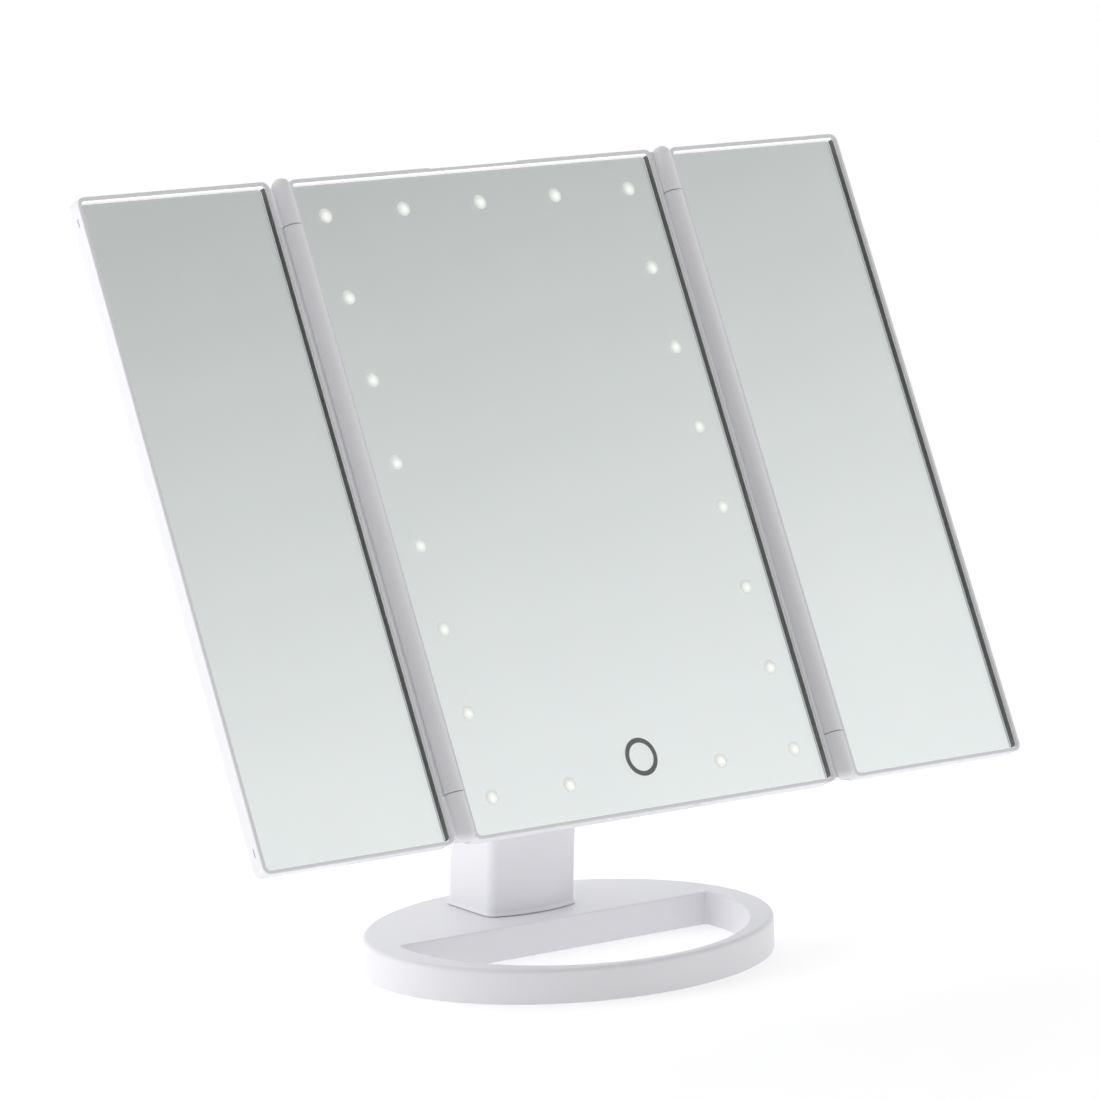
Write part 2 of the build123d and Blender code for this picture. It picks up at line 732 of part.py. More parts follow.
with BuildPart() as centre_back_cover:
    with BuildSketch(head.offset(-panel_depth)):
        panel_outline(
            -centre_half_width + cover_inset, centre_half_width - cover_inset, half_height - cover_inset, 6
        )
    extrude(amount=-cover_depth, taper=cover_draft)
    rear_edges = centre_back_cover.faces().sort_by(out_of_face)[0].edges()
    fillet(rear_edges, radius=2.0)
    with BuildSketch(head.offset(-panel_depth)):
        panel_outline(
            -centre_half_width + cover_inset + cover_wall,
            centre_half_width - cover_inset - cover_wall,
            half_height - cover_inset - cover_wall,
            4.5,
        )
    extrude(amount=-cover_depth + cover_wall, taper=cover_draft, mode=Mode.SUBTRACT)
    # opening for the bracket's neck
    with BuildSketch(head.offset(cover_back)):
        RectangleRounded(2 * boss_half_width + 1.0, 2 * boss_radius + 1.0, 1.5)
    extrude(amount=cover_wall, mode=Mode.SUBTRACT)
    # screw posts with counterbores
    with BuildSketch(head.offset(cover_inside)):
        with Locations(*cover_screw_places):
            Circle(4.0)
    extrude(amount=1.0)
    with BuildSketch(head.offset(cover_back)):
        with Locations(*cover_screw_places):
            Circle(2.7)
    extrude(amount=1.4, mode=Mode.SUBTRACT)
    with BuildSketch(head.offset(cover_back)):
        with Locations(*cover_screw_places):
            Circle(1.3)
        with Locations(*bracket_screw_places):
            Circle(1.3)
    extrude(amount=cover_wall + 2, mode=Mode.SUBTRACT)
    # bosses that hold the control board and hold the LED board forward
    with BuildSketch(head.offset(cover_inside)):
        with Locations((0, control_v)):
            with GridLocations(38, 20, 2, 2):
                Circle(1.8)
    extrude(amount=1.6)
    with BuildSketch(head.offset(cover_inside)):
        with GridLocations(2 * (board_u - 6.0), 61.4, 2, 3):
            Circle(2.0)
        with GridLocations(68.8, 2 * (board_v - 6.5), 2, 2):
            Circle(2.0)
    extrude(amount=board_front - board_thickness - cover_inside)
write(centre_back_cover, "centre_back_cover")

with BuildPart() as cover_screws:
    with BuildSketch(head.offset(cover_back + 1.4)):
        with Locations(*cover_screw_places):
            Circle(2.5)
    extrude(amount=-1.3)
    with BuildSketch(head.offset(cover_back + 1.4)):
        with Locations(*cover_screw_places):
            Circle(1.0)
    extrude(amount=7.5)
write(cover_screws, "cover_screws")

with BuildPart() as head_lead:
    lead_w = cover_inside + 1.6 + board_thickness + lead_radius + 0.15
    lead_places = [
        head_point(0, control_v - 11.1, lead_w),
        head_point(0, 6.5, lead_w),
        head_point(0, 6.5, -pivot_depth + 2),
    ]
    with BuildLine() as head_lead_path:
        FilletPolyline(*lead_places, radius=4.0)
    with BuildSketch(Plane(origin=lead_places[0], z_dir=head_lead_path.wires()[0] % 0)):
        Circle(lead_radius)
    sweep(path=head_lead_path.wires()[0])
write(head_lead, "head_lead")

# ---------------------------------------------------------------- hinge pins and wings

for side, sign in (("left", -1), ("right", 1)):
    with BuildPart() as hinge_pins:
        for end in (-1, 1):
            with BuildSketch(hinge_plane(end * (half_height + knuckle_over - pin_recess))):
                with Locations((sign * hinge_u, -hinge_w)):
                    Circle(pin_radius)
            extrude(amount=-end * pin_length)
    write(hinge_pins, f"{side}_hinge_pins")

    wing_low = min(sign * wing_inner, sign * wing_outer)
    wing_high = max(sign * wing_inner, sign * wing_outer)
    with BuildPart() as wing_tray:
        with BuildSketch(head):
            panel_outline(wing_low, wing_high, half_height, corner_radius)
        extrude(amount=-panel_depth)
        back_edges = wing_tray.faces().sort_by(out_of_face)[0].edges()
        fillet(back_edges, radius=0.8)
        front_edges = wing_tray.faces().sort_by(out_of_face)[-1].edges()
        fillet(front_edges, radius=rim_rounding)
        with BuildSketch(head):
            panel_outline(wing_low + rim, wing_high - rim, half_height - rim, corner_radius - rim)
        extrude(amount=backing_back, mode=Mode.SUBTRACT)
        # the long barrel and the web that carries it
        with BuildSketch(hinge_plane(-long_barrel / 2)):
            with Locations((sign * hinge_u, -hinge_w)):
                Circle(barrel_radius)
            web_width = wing_inner - hinge_u + 1.0
            with Locations((sign * (hinge_u + web_width / 2), 2.6)):
                Rectangle(web_width, 4.2)
        extrude(amount=long_barrel)
        with BuildSketch(hinge_plane(-long_barrel / 2)):
            with Locations((sign * hinge_u, -hinge_w)):
                Circle(pin_radius + pin_clearance)
        extrude(amount=long_barrel, mode=Mode.SUBTRACT)
        # snap slots in the outer side wall
        for end in (-1, 1):
            with BuildSketch(hinge_plane(end * (half_height - 8.5))):
                with Locations((sign * wing_outer, 2.6)):
                    Rectangle(0.8, 0.8)
            extrude(amount=1.5, both=True, mode=Mode.SUBTRACT)
    write(wing_tray, f"{side}_wing_tray")

    inset = rim + fit_gap
    with BuildPart() as wing_glass:
        with BuildSketch(head.offset(-glass_recess)):
            panel_outline(wing_low + inset, wing_high - inset, half_height - inset, 1.4)
        extrude(amount=-glass_thickness)
        chamfer(wing_glass.faces().sort_by(out_of_face)[-1].edges(), length=0.25)
    write(wing_glass, f"{side}_wing_glass")

    with BuildPart() as wing_silvering:
        with BuildSketch(head.offset(glass_back)):
            panel_outline(wing_low + inset, wing_high - inset, half_height - inset, 1.4)
        extrude(amount=-silvering_thickness)
    write(wing_silvering, f"{side}_wing_silvering")

    with BuildPart() as wing_pad:
        with BuildSketch(head.offset(silvering_back)):
            panel_outline(wing_low + 6, wing_high - 6, half_height - 6, 3)
        extrude(amount=-backing_thickness)
    write(wing_pad, f"{side}_wing_pad")
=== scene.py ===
"""Looks of the tri-fold lighted vanity mirror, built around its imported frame. Lengths are metres."""
import json
import math

import bmesh
import bpy
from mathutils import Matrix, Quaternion, Vector


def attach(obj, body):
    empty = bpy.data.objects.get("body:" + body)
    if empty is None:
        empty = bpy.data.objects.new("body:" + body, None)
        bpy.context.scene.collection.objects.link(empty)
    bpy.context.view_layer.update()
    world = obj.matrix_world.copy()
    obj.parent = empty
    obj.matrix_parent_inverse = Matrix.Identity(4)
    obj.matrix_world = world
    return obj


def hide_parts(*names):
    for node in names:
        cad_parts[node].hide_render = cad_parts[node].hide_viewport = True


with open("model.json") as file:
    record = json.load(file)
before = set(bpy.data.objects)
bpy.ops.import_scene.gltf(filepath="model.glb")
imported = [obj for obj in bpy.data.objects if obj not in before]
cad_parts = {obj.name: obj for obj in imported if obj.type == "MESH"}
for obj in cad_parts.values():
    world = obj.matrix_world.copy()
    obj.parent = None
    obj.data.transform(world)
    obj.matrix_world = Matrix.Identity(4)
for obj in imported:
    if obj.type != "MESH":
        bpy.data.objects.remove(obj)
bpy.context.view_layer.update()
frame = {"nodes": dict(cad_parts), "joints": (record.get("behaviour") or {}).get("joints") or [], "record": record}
MM = 0.001

# ---------------------------------------------------------------- camera

CAMERA_AZIMUTH = -38.97
CAMERA_ELEVATION = 11.12
CAMERA_ROLL = 1.32
CAMERA_DISTANCE = 2.2961
CAMERA_TARGET = Vector((-0.01354, -0.0344, 0.15016))
CAMERA_LENS = 213.1


def make_camera():
    """The camera, aimed at CAMERA_TARGET from the left front and a little above."""
    azimuth, elevation = math.radians(CAMERA_AZIMUTH), math.radians(CAMERA_ELEVATION)
    back = Vector((
        math.sin(azimuth) * math.cos(elevation),
        -math.cos(azimuth) * math.cos(elevation),
        math.sin(elevation),
    ))
    data = bpy.data.cameras.new("camera")
    data.sensor_width = 36.0
    data.lens = CAMERA_LENS
    data.clip_start, data.clip_end = 0.05, 100.0
    camera = bpy.data.objects.new("camera", data)
    bpy.context.scene.collection.objects.link(camera)
    camera.location = CAMERA_TARGET + back * CAMERA_DISTANCE
    camera.rotation_mode = "QUATERNION"
    level = (-back).to_track_quat("-Z", "Y")
    camera.rotation_quaternion = level @ Quaternion((0, 0, 1), math.radians(CAMERA_ROLL))
    bpy.context.scene.camera = camera


# ---------------------------------------------------------------- the head's own directions

fold = next(joint for joint in frame["joints"] if joint["name"] == "left_wing_fold")
ACROSS = Vector((1, 0, 0))
UP_FACE = Vector(fold["axis"]).normalized()
OUT_OF_FACE = ACROSS.cross(UP_FACE)


def from_head(u, v, w):
    """The point that is u across the head, v up its face and w out of it, all from the frame's origin."""
    return ACROSS * u + UP_FACE * v + OUT_OF_FACE * w


def head_box(node):
    """Lowest and highest corner of a node along the head's own directions."""
    points = [vertex.co for vertex in frame["nodes"][node].data.vertices]
    spans = [[point.dot(way) for point in points] for way in (ACROSS, UP_FACE, OUT_OF_FACE)]
    return Vector(min(span) for span in spans), Vector(max(span) for span in spans)


# ---------------------------------------------------------------- node helpers


class Nodes:
    """A short way to write a node tree: each method adds a node and returns its output."""

    def __init__(self, tree):
        self.tree = tree
        tree.nodes.clear()

    def add(self, kind, **settings):
        node = self.tree.nodes.new(kind)
        for name, value in settings.items():
            setattr(node, name, value)
        return node

    def plug(self, value, socket):
        """Links an output to a socket, or sets the socket to a plain value."""
        if isinstance(value, bpy.types.NodeSocket):
            self.tree.links.new(value, socket)
        else:
            socket.default_value = value

    def math(self, operation, a, b=0.0):
        node = self.add("ShaderNodeMath", operation=operation)
        self.plug(a, node.inputs[0])
        self.plug(b, node.inputs[1])
        return node.outputs[0]

    def place(self):
        """The point on the piece, in metres."""
        return self.add("ShaderNodeTexCoord").outputs["Object"]

    def noise(self, scale, detail=2.0, roughness=0.5, vector=None):
        node = self.add("ShaderNodeTexNoise")
        node.inputs["Scale"].default_value = scale
        node.inputs["Detail"].default_value = detail
        node.inputs["Roughness"].default_value = roughness
        self.plug(self.place() if vector is None else vector, node.inputs["Vector"])
        return node.outputs["Fac"]

    def spread(self, value, low, high, start=0.3, end=0.7):
        """Maps value from start..end to low..high, held at both ends."""
        node = self.add("ShaderNodeMapRange", clamp=True)
        for socket, number in zip(node.inputs[:5], (value, start, end, low, high)):
            self.plug(number, socket)
        return node.outputs[0]

    def blend(self, factor, first, second):
        """A colour between first and second."""
        node = self.add("ShaderNodeMix", data_type="RGBA")
        self.plug(factor, node.inputs["Factor"])
        for value, socket in ((first, node.inputs[6]), (second, node.inputs[7])):
            self.plug(value if isinstance(value, bpy.types.NodeSocket) else (*value, 1.0), socket)
        return node.outputs[2]

    def bump(self, height, distance, strength=1.0, normal=None):
        node = self.add("ShaderNodeBump")
        node.inputs["Distance"].default_value = distance
        node.inputs["Strength"].default_value = strength
        self.plug(height, node.inputs["Height"])
        if normal is not None:
            self.plug(normal, node.inputs["Normal"])
        return node.outputs[0]


def material(name):
    """A new material with an empty tree, a Principled shader and an output."""
    made = bpy.data.materials.new(name)
    made.use_nodes = True
    nodes = Nodes(made.node_tree)
    shader = nodes.add("ShaderNodeBsdfPrincipled")
    output = nodes.add("ShaderNodeOutputMaterial")
    nodes.tree.links.new(shader.outputs[0], output.inputs[0])
    return made, nodes, shader


# ---------------------------------------------------------------- materials


PLASTIC_CLOUD = 0.012          # how far the colour wanders to either side
PLASTIC_EDGE = 0.18 * MM       # radius that softens the moulded edges


def moulded_plastic(name, colour, roughness):
    """Moulded plastic: a faint cloudiness, an uneven satin gloss, a fine grain and softly rounded edges."""
    made, nodes, shader = material(name)
    large = nodes.noise(9.0, 3.0)
    small = nodes.noise(420.0, 2.0)
    fine = nodes.noise(5200.0, 1.0)
    darker = [max(0.0, c - PLASTIC_CLOUD) for c in colour]
    lighter = [min(1.0, c + PLASTIC_CLOUD) for c in colour]
    nodes.plug(nodes.blend(nodes.spread(large, 0.0, 1.0), darker, lighter), shader.inputs["Base Color"])
    gloss = nodes.math("ADD", nodes.spread(large, -0.03, 0.03), nodes.spread(small, -0.02, 0.02))
    nodes.plug(nodes.math("ADD", gloss, roughness), shader.inputs["Roughness"])
    bevel = nodes.add("ShaderNodeBevel", samples=4)
    bevel.inputs["Radius"].default_value = PLASTIC_EDGE
    surface = nodes.bump(fine, 0.00002, 0.5, bevel.outputs[0])
    nodes.plug(nodes.bump(small, 0.00003, 0.35, surface), shader.inputs["Normal"])
    shader.inputs["IOR"].default_value = 1.52
    return made


def brushed_metal(name, colour, roughness, lines=2600.0):
    """Drawn or turned steel: fine streaks in the gloss and a slight tarnish."""
    made, nodes, shader = material(name)
    stretch = nodes.add("ShaderNodeMapping")
    nodes.plug(nodes.place(), stretch.inputs["Vector"])
    stretch.inputs["Scale"].default_value = (0.08, 1.0, 1.0)
    streaks = nodes.noise(lines, 3.0, vector=stretch.outputs[0])
    tarnish = nodes.noise(260.0, 3.0)
    dull = [0.82 * c for c in colour]
    nodes.plug(nodes.blend(nodes.spread(tarnish, 0.0, 1.0), dull, colour), shader.inputs["Base Color"])
    shader.inputs["Metallic"].default_value = 1.0
    nodes.plug(nodes.spread(streaks, roughness - 0.08, roughness + 0.1), shader.inputs["Roughness"])
    nodes.plug(nodes.bump(streaks, 0.00001, 0.4), shader.inputs["Normal"])
    return made


def plain_surface(name, colour, roughness, scale=700.0, change=0.08, bump=0.00003, glow=None):
    """A matt surface with a mottled colour and a fine texture, for rubber, foam, boards and sleeves."""
    made, nodes, shader = material(name)
    mottle = nodes.noise(scale, 4.0, 0.6)
    first = [c * (1.0 - change) for c in colour]
    second = [min(1.0, c * (1.0 + change)) for c in colour]
    nodes.plug(nodes.blend(nodes.spread(mottle, 0.0, 1.0), first, second), shader.inputs["Base Color"])
    nodes.plug(nodes.spread(mottle, roughness - 0.06, roughness + 0.06), shader.inputs["Roughness"])
    nodes.plug(nodes.bump(mottle, bump, 0.6), shader.inputs["Normal"])
    if glow is not None:
        shader.inputs["Emission Color"].default_value = (*glow[:3], 1.0)
        shader.inputs["Emission Strength"].default_value = glow[3]
    return made


LIGHT_PITCH_ACROSS = 34.4 * MM
LIGHT_PITCH_UP = 30.7 * MM
LIGHT_CORE, LIGHT_EDGE = 0.74, 0.40     # glow of the diffuser over a light and beside it
LIGHT_CORE_RADIUS = 0.6 * MM
LIGHT_EDGE_RADIUS = 2.6 * MM
# The glow peak is shifted right and down from each light's middle: painted shade on the upper left of each window,
# where the recess wall would shade it.
PAINTED_SHADE_SHIFT_ACROSS = 0.4 * MM           # how far right of each light's middle it glows most, leaving painted shade on the window's left
PAINTED_SHADE_SHIFT_DOWN = 0.3 * MM


def lit_diffuser(name, middle):
    """White diffusing sheet, lit from behind by the lights: brightest a little right of and below the middle of
    each light, so that its upper left is darker as painted shade of the recess around each window.

    middle is the height of the middle of the rows of lights, up the head's face.
    """
    made, nodes, shader = material(name)
    mottle = nodes.noise(900.0, 4.0, 0.6)
    nodes.plug(
        nodes.blend(nodes.spread(mottle, 0.0, 1.0), (0.84, 0.84, 0.81), (0.90, 0.90, 0.87)),
        shader.inputs["Base Color"],
    )
    nodes.plug(nodes.spread(mottle, 0.45, 0.6), shader.inputs["Roughness"])
    nodes.plug(nodes.bump(mottle, 0.00002, 0.5), shader.inputs["Normal"])
    grid = (
        (ACROSS, PAINTED_SHADE_SHIFT_ACROSS, LIGHT_PITCH_ACROSS),
        (UP_FACE, middle - LIGHT_PITCH_UP / 2 - PAINTED_SHADE_SHIFT_DOWN, LIGHT_PITCH_UP),
    )
    squares = []
    for way, start, pitch in grid:
        along = nodes.add("ShaderNodeVectorMath", operation="DOT_PRODUCT")
        nodes.plug(nodes.place(), along.inputs[0])
        along.inputs[1].default_value = way
        distance = nodes.math("SUBTRACT", along.outputs["Value"], start)
        distance = nodes.math("PINGPONG", distance, pitch / 2)
        squares.append(nodes.math("POWER", distance, 2.0))
    radius = nodes.math("SQRT", nodes.math("ADD", squares[0], squares[1]))
    glow = nodes.spread(radius, LIGHT_CORE, LIGHT_EDGE, LIGHT_CORE_RADIUS, LIGHT_EDGE_RADIUS)
    nodes.plug(glow, shader.inputs["Emission Strength"])
    shader.inputs["Emission Color"].default_value = (1.0, 0.995, 0.96, 1.0)
    return made


def circuit_board(name, colour):
    """Solder mask: a glossy coat with faint tracks under it."""
    made, nodes, shader = material(name)
    tracks = nodes.add("ShaderNodeTexBrick", offset=0.5)
    nodes.plug(nodes.place(), tracks.inputs["Vector"])
    tracks.inputs["Scale"].default_value = 160.0
    tracks.inputs["Mortar Size"].default_value = 0.12
    lighter = [min(1.0, c * 1.25 + 0.01) for c in colour]
    nodes.plug(nodes.blend(tracks.outputs["Fac"], colour, lighter), shader.inputs["Base Color"])
    nodes.plug(nodes.spread(nodes.noise(900.0), 0.3, 0.42), shader.inputs["Roughness"])
    nodes.plug(nodes.bump(tracks.outputs["Fac"], 0.00004, 0.5), shader.inputs["Normal"])
    return made


def mirror_silver(name):
    """The silvering behind the glass: nearly perfect, with a very slight unevenness."""
    made, nodes, shader = material(name)
    haze = nodes.noise(14.0, 4.0)
    nodes.plug(
        nodes.blend(nodes.spread(haze, 0.0, 1.0), (0.905, 0.915, 0.915), (0.925, 0.935, 0.93)),
        shader.inputs["Base Color"],
    )
    shader.inputs["Metallic"].default_value = 1.0
    nodes.plug(nodes.spread(haze, 0.0, 0.012), shader.inputs["Roughness"])
    return made


def float_glass(name):
    """Clear glass with the faint green of float glass, and a trace of haze from wiping."""
    made, nodes, shader = material(name)
    haze = nodes.noise(60.0, 5.0, 0.65)
    nodes.plug(
        nodes.blend(nodes.spread(haze, 0.0, 1.0), (0.968, 0.988, 0.98), (0.975, 0.99, 0.984)),
        shader.inputs["Base Color"],
    )
    shader.inputs["Transmission Weight"].default_value = 1.0
    shader.inputs["IOR"].default_value = 1.52
    nodes.plug(nodes.spread(haze, 0.0, 0.012, 0.45, 0.8), shader.inputs["Roughness"])
    return made


def ground_edge(name, first, second, glow):
    """A ground edge of the glass, with grinding lines; its colours and glow, given by the caller, carry painted
    shade on the glass's sides and a painted glowing reflection on its ends.
    """
    made, nodes, shader = material(name)
    lines = nodes.noise(3000.0, 3.0)
    nodes.plug(nodes.blend(nodes.spread(lines, 0.0, 1.0), first, second), shader.inputs["Base Color"])
    nodes.plug(nodes.spread(lines, 0.55, 0.75), shader.inputs["Roughness"])
    nodes.plug(nodes.bump(lines, 0.00002, 0.5), shader.inputs["Normal"])
    shader.inputs["Specular IOR Level"].default_value = 0.1
    # Painted light: the given glow makes the glass's ends shine as a painted reflection of the lit rim, with no
    # lamp behind them.
    shader.inputs["Emission Color"].default_value = (1.0, 1.0, 1.0, 1.0)
    shader.inputs["Emission Strength"].default_value = glow
    return made


WHITE = (0.85, 0.85, 0.88)
lights_low, lights_high = head_box("leds")
lights_middle = (lights_low.y + lights_high.y) / 2
looks = {
    "shell_white": moulded_plastic("white_abs", WHITE, 0.34),
    "silvering": mirror_silver("silvering"),
    "mirror_glass": float_glass("float_glass"),
    "switch_ring": plain_surface("switch_print", (0.125, 0.125, 0.125), 0.45, 1500.0, 0.12),
    "diffuser": lit_diffuser("lit_diffuser", lights_middle),
    "led": plain_surface("led_phosphor", (0.95, 0.86, 0.5), 0.4, 1800.0, 0.08, glow=(1.0, 0.96, 0.85, 0.6)),
    "white_board": circuit_board("white_board", (0.80, 0.81, 0.80)),
    "green_board": circuit_board("green_board", (0.03, 0.20, 0.08)),
    "components": plain_surface("black_epoxy", (0.03, 0.03, 0.033), 0.5, 1800.0, 0.2),
    "steel": brushed_metal("plated_steel", (0.62, 0.62, 0.64), 0.3),
    "spring_metal": brushed_metal("nickel", (0.74, 0.72, 0.68), 0.2, 1800.0),
    "ballast_steel": brushed_metal("raw_steel", (0.34, 0.34, 0.35), 0.5, 700.0),
    "foam": plain_surface("foam", (0.72, 0.72, 0.70), 0.9, 2600.0, 0.12, 0.0001),
    "rubber_foot": plain_surface("soft_rubber", (0.50, 0.50, 0.51), 0.7, 1600.0, 0.06),
    "cell_wrap": plain_surface("cell_sleeve", (0.10, 0.11, 0.13), 0.3, 500.0, 0.1, 0.00001),
    "lead_black": plain_surface("lead_insulation", (0.02, 0.02, 0.02), 0.5, 1200.0, 0.2),
}
# Painted shade: the dark grey given to the sides of the mirror glass.
painted_shade_edge = ground_edge("painted_shade_edge", (0.25, 0.257, 0.245), (0.33, 0.337, 0.325), 0.0)
# Painted reflection and glow: the white, self-lit ends and front arris of the mirror glass.
painted_glow_edge = ground_edge("painted_glow_edge", (0.90, 0.91, 0.90), (0.94, 0.95, 0.94), 0.75)


def dress_cad_nodes():
    """Gives every node of the frame the look of its slot."""
    slots = {part["node"]: part["material_slot"] for part in frame["record"]["subparts"]}
    for name, node in frame["nodes"].items():
        node.data.materials.clear()
        node.data.materials.append(looks[slots[name]])


# ---------------------------------------------------------------- pieces


def link(name, mesh_source, smooth_angle=40.0):
    """An object made from a bmesh, smooth where its faces meet at less than smooth_angle."""
    mesh = bpy.data.meshes.new(name)
    bmesh.ops.recalc_face_normals(mesh_source, faces=mesh_source.faces)
    mesh_source.to_mesh(mesh)
    mesh_source.free()
    mesh.shade_smooth()
    mesh.set_sharp_from_angle(angle=math.radians(smooth_angle))
    piece = bpy.data.objects.new(name, mesh)
    bpy.context.scene.collection.objects.link(piece)
    return piece


def rounded_outline(low_u, high_u, low_v, high_v, radius, steps=8):
    """Points round a rectangle with rounded corners, counter-clockwise."""
    points = []
    corners = ((high_u, high_v, 0), (low_u, high_v, 90), (low_u, low_v, 180), (high_u, low_v, 270))
    for u, v, start in corners:
        centre_u = u - math.copysign(radius, u - (low_u + high_u) / 2)
        centre_v = v - math.copysign(radius, v - (low_v + high_v) / 2)
        for step in range(steps + 1):
            angle = math.radians(start + 90 * step / steps)
            points.append((centre_u + radius * math.cos(angle), centre_v + radius * math.sin(angle)))
    return points


GLASS_CORNER = 1.4 * MM
GLASS_BEVEL = 0.12 * MM
PAINTED_SHADE_START = 0.13 * MM       # how far behind the front the painted shade of the sides begins
BOND_LINE = 0.02 * MM          # between the glass and its silvering


def make_glass(name, node, body):
    """A slab of clear glass with a bevelled front arris, sides painted dark grey as painted shade, and ends and
    arris painted bright and glowing as a painted reflection of the lit rim.
    """
    low, high = head_box(node)
    levels = (
        (GLASS_BEVEL, high.z),
        (0.0, high.z - GLASS_BEVEL),
        (0.0, high.z - PAINTED_SHADE_START),
        (0.0, low.z + BOND_LINE),
    )
    slab = bmesh.new()
    rings = []
    for inset, w in levels:
        outline = rounded_outline(low.x + inset, high.x - inset, low.y + inset, high.y - inset, GLASS_CORNER)
        rings.append([slab.verts.new(from_head(u, v, w)) for u, v in outline])
    count = len(rings[0])
    for upper, lower in zip(rings, rings[1:]):
        for i in range(count):
            j = (i + 1) % count
            along = rings[0][j].co - rings[0][i].co
            face = slab.faces.new((upper[i], lower[i], lower[j], upper[j]))
            side = abs(along.dot(UP_FACE)) > abs(along.dot(ACROSS))
            # Sides behind the front get the painted shade; the ends and the front arris get the painted glowing
            # reflection.
            face.material_index = 1 if side and lower is rings[-1] else 2
    slab.faces.new(rings[0])
    slab.faces.new(rings[-1])
    piece = link(name, slab, smooth_angle=15.0)
    piece.data.materials.append(looks["mirror_glass"])
    piece.data.materials.append(painted_shade_edge)
    piece.data.materials.append(painted_glow_edge)
    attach(piece, body)
    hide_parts(node)


SCREW_HEAD = 2.5 * MM          # radius
SCREW_HEAD_DEPTH = 1.3 * MM
SCREW_RIM = 0.35 * MM          # how far in from the head's side its flat face ends
SCREW_RIM_DEPTH = 0.4 * MM
SCREW_SHANK = 1.0 * MM         # radius
SCREW_CLEARANCE = 0.02 * MM    # of the screw inside the space it has in the frame
SCREW_STEPS = 32
CROSS_ARM = 0.42 * MM          # half the width of an arm of the drive recess
CROSS_REACH = 1.45 * MM
CROSS_DEPTH = 0.8 * MM
CROSS_TAPER = 0.7              # size of the recess's bottom beside its mouth


def screw_ring(mesh, centre_u, centre_v, radius, w):
    """A circle of vertices square to the head's face."""
    ring = []
    for step in range(SCREW_STEPS):
        angle = 2 * math.pi * step / SCREW_STEPS
        ring.append(mesh.verts.new(from_head(
            centre_u + radius * math.cos(angle), centre_v + radius * math.sin(angle), w
        )))
    return ring


def screw_cross(mesh, centre_u, centre_v, scale, w):
    """The outline of the cross-shaped drive recess."""
    arm, reach = CROSS_ARM * scale, CROSS_REACH * scale
    quarter = ((reach, -arm), (reach, arm), (arm, arm))
    outline = []
    for cosine, sine in ((1, 0), (0, 1), (-1, 0), (0, -1)):
        for u, v in quarter:
            outline.append(mesh.verts.new(from_head(
                centre_u + cosine * u - sine * v, centre_v + sine * u + cosine * v, w
            )))
    return outline


def wall(mesh, first, second):
    """Faces between two loops with the same number of vertices."""
    for i in range(len(first)):
        j = (i + 1) % len(first)
        mesh.faces.new((first[i], first[j], second[j], second[i]))


def make_cover_screws():
    """The back cover's screws: pan heads with a softened rim and a cross-shaped drive recess."""
    low, high = head_box("cover_screws")
    middle = (low + high) / 2
    head_radius, shank_radius = SCREW_HEAD - SCREW_CLEARANCE, SCREW_SHANK - SCREW_CLEARANCE
    screws = bmesh.new()
    for u in (low.x + SCREW_HEAD, high.x - SCREW_HEAD):
        for v in (low.y + SCREW_HEAD, middle.y, high.y - SCREW_HEAD):
            face = screw_ring(screws, u, v, SCREW_HEAD - SCREW_RIM, low.z)
            rim = screw_ring(screws, u, v, head_radius, low.z + SCREW_RIM_DEPTH)
            seat = screw_ring(screws, u, v, head_radius, low.z + SCREW_HEAD_DEPTH)
            neck = screw_ring(screws, u, v, shank_radius, low.z + SCREW_HEAD_DEPTH)
            tip = screw_ring(screws, u, v, shank_radius, high.z)
            for first, second in ((face, rim), (rim, seat), (seat, neck), (neck, tip)):
                wall(screws, first, second)
            screws.faces.new(tip)
            mouth = screw_cross(screws, u, v, 1.0, low.z)
            bottom = screw_cross(screws, u, v, CROSS_TAPER, low.z + CROSS_DEPTH)
            wall(screws, mouth, bottom)
            screws.faces.new(bottom)
            pairs = [(loop[i - 1], loop[i]) for loop in (face, mouth) for i in range(len(loop))]
            borders = [screws.edges.get(pair) for pair in pairs]
            bmesh.ops.triangle_fill(screws, edges=borders, use_beauty=True)
    piece = link("cover_screw_set", screws, smooth_angle=30.0)
    piece.data.materials.append(looks["steel"])
    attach(piece, "head")
    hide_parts("cover_screws")


# ---------------------------------------------------------------- the room

FLOOR_RADIUS = 9.0
FLOOR_GLOW = 0.345             # lifts the paper to plain white where nothing shades it
LAMP_PLACE = Vector((-1.5, 0.35, 0.4))
LAMP_AIM = Vector((0, 0, 0.12))
LAMP_SIZE = 0.7
LAMP_POWER = 5.5


def make_studio():
    """A pale floor and a soft lamp on the left."""
    floor = bmesh.new()
    bmesh.ops.create_circle(floor, cap_ends=True, radius=FLOOR_RADIUS, segments=96)
    piece = link("floor", floor)
    made, nodes, shader = material("floor_paper")
    fibres = nodes.noise(30.0, 4.0)
    nodes.plug(
        nodes.blend(nodes.spread(fibres, 0.0, 1.0), (0.93, 0.93, 0.93), (0.95, 0.95, 0.95)),
        shader.inputs["Base Color"],
    )
    shader.inputs["Roughness"].default_value = 0.9
    shader.inputs["Specular IOR Level"].default_value = 0.1
    shader.inputs["Emission Color"].default_value = (1.0, 1.0, 1.0, 1.0)
    shader.inputs["Emission Strength"].default_value = FLOOR_GLOW
    piece.data.materials.append(made)

    data = bpy.data.lights.new("left_softbox", "AREA")
    data.shape = "DISK"
    data.size = LAMP_SIZE
    data.energy = LAMP_POWER
    lamp = bpy.data.objects.new("left_softbox", data)
    bpy.context.scene.collection.objects.link(lamp)
    lamp.location = LAMP_PLACE
    lamp.rotation_mode = "QUATERNION"
    lamp.rotation_quaternion = (LAMP_AIM - LAMP_PLACE).to_track_quat("-Z", "Y")
    lamp.visible_glossy = False
    lamp.visible_transmission = False
    lamp.visible_camera = False


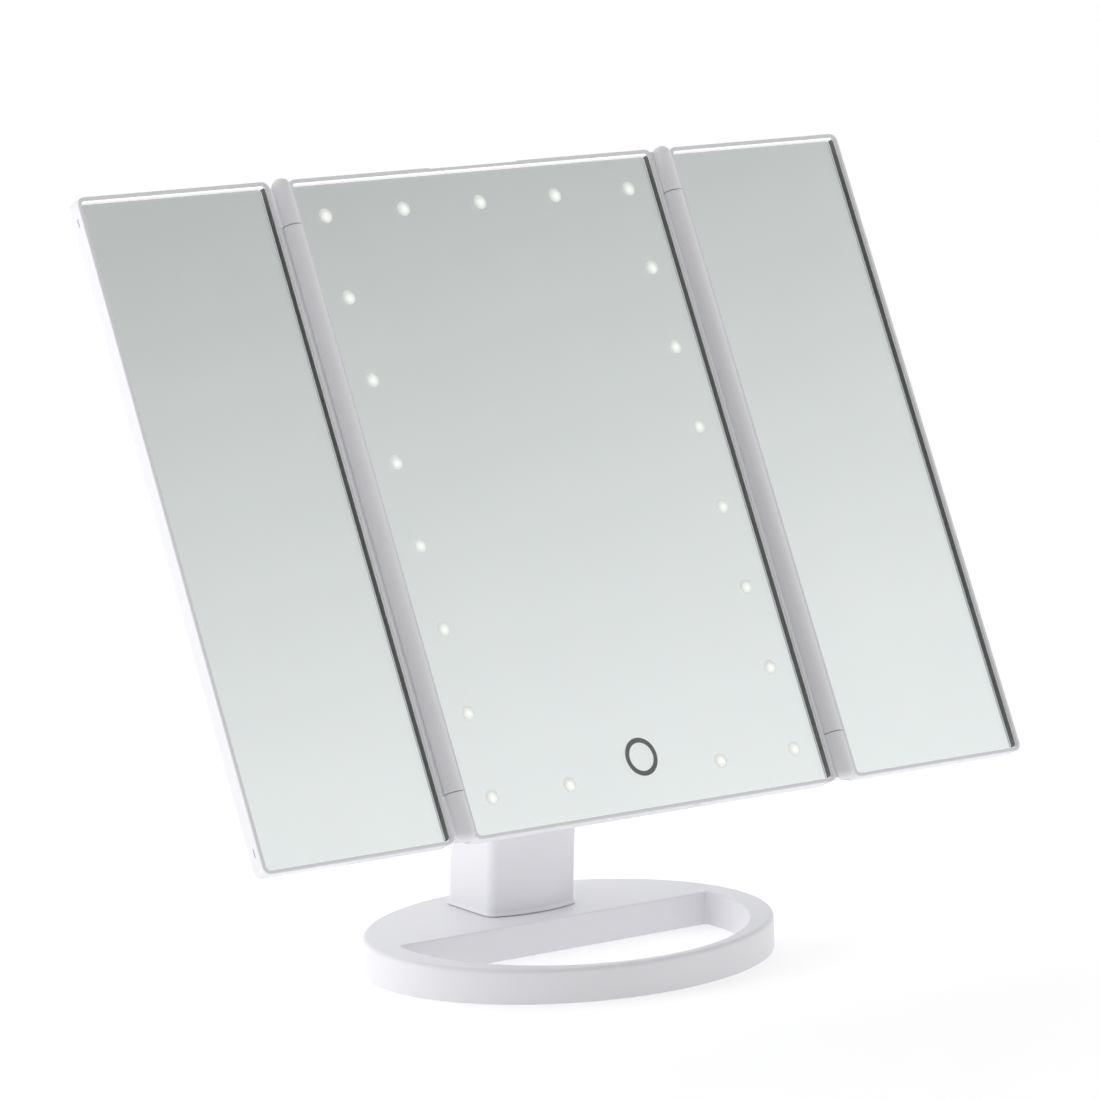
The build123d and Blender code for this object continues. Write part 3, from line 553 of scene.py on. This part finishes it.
SURROUND_AXIS = Vector((0.37, 0.0, 1.0))
SURROUND = (                   # how far a direction goes along SURROUND_AXIS, brightness there
    (-1.1, 0.90),
    (0.0, 0.95),
    (0.45, 1.00),
    (0.68, 0.985),
    (0.722, 0.925),
    (0.745, 0.835),
    (0.765, 0.735),
    (0.785, 0.645),
    (0.802, 0.570),
    (0.84, 0.52),
    (0.92, 0.60),
    (1.1, 0.88),
)
DARK_SIDE = Vector((-0.451, -0.751, 0.481))     # towards the unlit part of the room
DARK_SHARE = 0.8                                # how much of the light is missing there
DARK_RIM, DARK_HEART = 0.47, 0.95               # cosines of the angles from it where it starts and is darkest
AMBIENT = 1.08                                  # brightness of the room for matt surfaces
ROOM_TINT = (0.985, 0.995, 1.0, 1.0)


def make_surround():
    """A white room with a grey band above head height and a dark side, and plain white behind the object."""
    world = bpy.data.worlds.new("studio")
    world.use_nodes = True
    bpy.context.scene.world = world
    nodes = Nodes(world.node_tree)
    direction = nodes.add("ShaderNodeTexCoord").outputs["Generated"]
    ramp = nodes.add("ShaderNodeFloatCurve")
    curve = ramp.mapping.curves[0]
    first, last = SURROUND[0][0], SURROUND[-1][0]
    for point, (along, brightness) in zip(curve.points, (SURROUND[0], SURROUND[-1])):
        point.location = ((along - first) / (last - first), brightness)
    for along, brightness in SURROUND[1:-1]:
        curve.points.new((along - first) / (last - first), brightness)
    ramp.mapping.update()
    height = nodes.add("ShaderNodeVectorMath", operation="DOT_PRODUCT")
    nodes.plug(direction, height.inputs[0])
    height.inputs[1].default_value = SURROUND_AXIS
    nodes.plug(nodes.spread(height.outputs["Value"], 0.0, 1.0, first, last), ramp.inputs["Value"])
    towards = nodes.add("ShaderNodeVectorMath", operation="DOT_PRODUCT")
    nodes.plug(direction, towards.inputs[0])
    towards.inputs[1].default_value = DARK_SIDE
    lit = nodes.spread(towards.outputs["Value"], 1.0, 1.0 - DARK_SHARE, DARK_RIM, DARK_HEART)
    room = nodes.add("ShaderNodeBackground", name="room")
    nodes.plug(nodes.math("MULTIPLY", ramp.outputs[0], lit), room.inputs["Strength"])
    room.inputs["Color"].default_value = ROOM_TINT
    ambient = nodes.add("ShaderNodeBackground", name="ambient")
    nodes.plug(nodes.math("MULTIPLY", lit, AMBIENT), ambient.inputs["Strength"])
    white = nodes.add("ShaderNodeBackground", name="white")
    rays = nodes.add("ShaderNodeLightPath")
    soft = nodes.add("ShaderNodeMixShader")
    nodes.plug(rays.outputs["Is Diffuse Ray"], soft.inputs[0])
    nodes.plug(room.outputs[0], soft.inputs[1])
    nodes.plug(ambient.outputs[0], soft.inputs[2])
    seen = nodes.add("ShaderNodeMixShader")
    nodes.plug(rays.outputs["Is Camera Ray"], seen.inputs[0])
    nodes.plug(soft.outputs[0], seen.inputs[1])
    nodes.plug(white.outputs[0], seen.inputs[2])
    output = nodes.add("ShaderNodeOutputWorld")
    nodes.plug(seen.outputs[0], output.inputs[0])


# ---------------------------------------------------------------- the scene

make_camera()
bpy.context.scene.view_settings.view_transform = "Standard"
make_studio()
make_surround()
dress_cad_nodes()
make_glass("centre_mirror_glass", "centre_glass", "head")
make_glass("left_mirror_glass", "left_wing_glass", "left_wing")
make_glass("right_mirror_glass", "right_wing_glass", "right_wing")
make_cover_screws()
